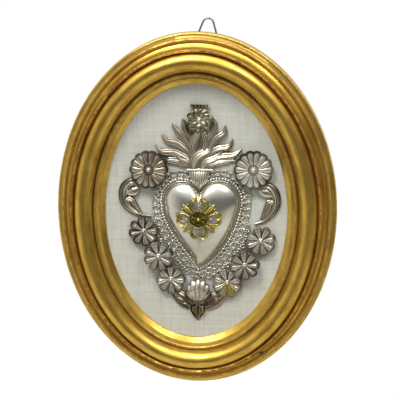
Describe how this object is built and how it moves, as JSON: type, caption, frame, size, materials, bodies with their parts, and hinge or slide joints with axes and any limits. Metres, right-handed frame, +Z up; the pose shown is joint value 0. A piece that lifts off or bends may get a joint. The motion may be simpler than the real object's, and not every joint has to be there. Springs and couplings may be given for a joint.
{
  "type": "framed ex-voto",
  "caption": "Oval gilt picture frame with a silver sacred-heart votive pinned on linen, hung from a wire triangle.",
  "frame": {"origin": "wall point of the nail that the frame hangs from, under the inside of the wire triangle's top", "axes": "+Z up along the frame's long axis, +Y into the wall, X across; the frame's front faces -Y and its back lies in the plane Y = 0"},
  "size_m": [0.191, 0.0224, 0.252],
  "materials": {
    "gilt_wood": "gold leaf on carved wood, rubbed and chipped",
    "linen": "fine plain weave, stretched",
    "card": "plain board",
    "backing_wood": "thin plywood, oiled",
    "steel": "plain steel, dulled",
    "hanger_brass": "pressed brass, dulled",
    "steel_wire": "drawn wire, dark",
    "silver": "stamped and chased silver, tarnished in its hollows",
    "gilt_metal": "gilt metal, rubbed"
  },
  "bodies": {
    "frame": {"frame_moulding": "gilt_wood", "linen_cover": "linen", "mount_board": "card", "backing_board": "backing_wood", "backing_brads": "steel", "hanger_plate": "hanger_brass", "hanger_screws": "steel", "filigree_border": "silver", "heart_shell": "silver", "heart_grains": "silver", "flame_crest": "silver", "neck_collar": "silver", "crest_neck": "silver", "cross_finial": "gilt_metal", "cross_rosette": "gilt_metal", "cross_pin": "gilt_metal", "rosette_left": "silver", "rosette_right": "silver", "rosette_pins": "silver", "scroll_leaf_left": "silver", "scroll_leaf_right": "silver", "flower_left_upper": "silver", "flower_left_middle": "silver", "flower_left_lower": "silver", "flower_right_upper": "silver", "flower_right_middle": "silver", "flower_right_lower": "silver", "flower_pins": "silver", "tail_leaf_left": "silver", "tail_leaf_right": "silver", "tail_tip": "silver", "tail_palmette": "silver", "palmette_pin": "silver", "gilt_cartouche": "gilt_metal", "cartouche_pin": "gilt_metal"},
    "hanger": {"hanger_wire": "steel_wire"}
  },
  "joints": [
    {"name": "hanger_swing", "type": "hinge", "parent": "frame", "child": "hanger", "pos_m": [-0.0022, -0.00161, -0.019], "axis": [-1, 0, 0], "range_deg": [0, 150]}
  ]
}
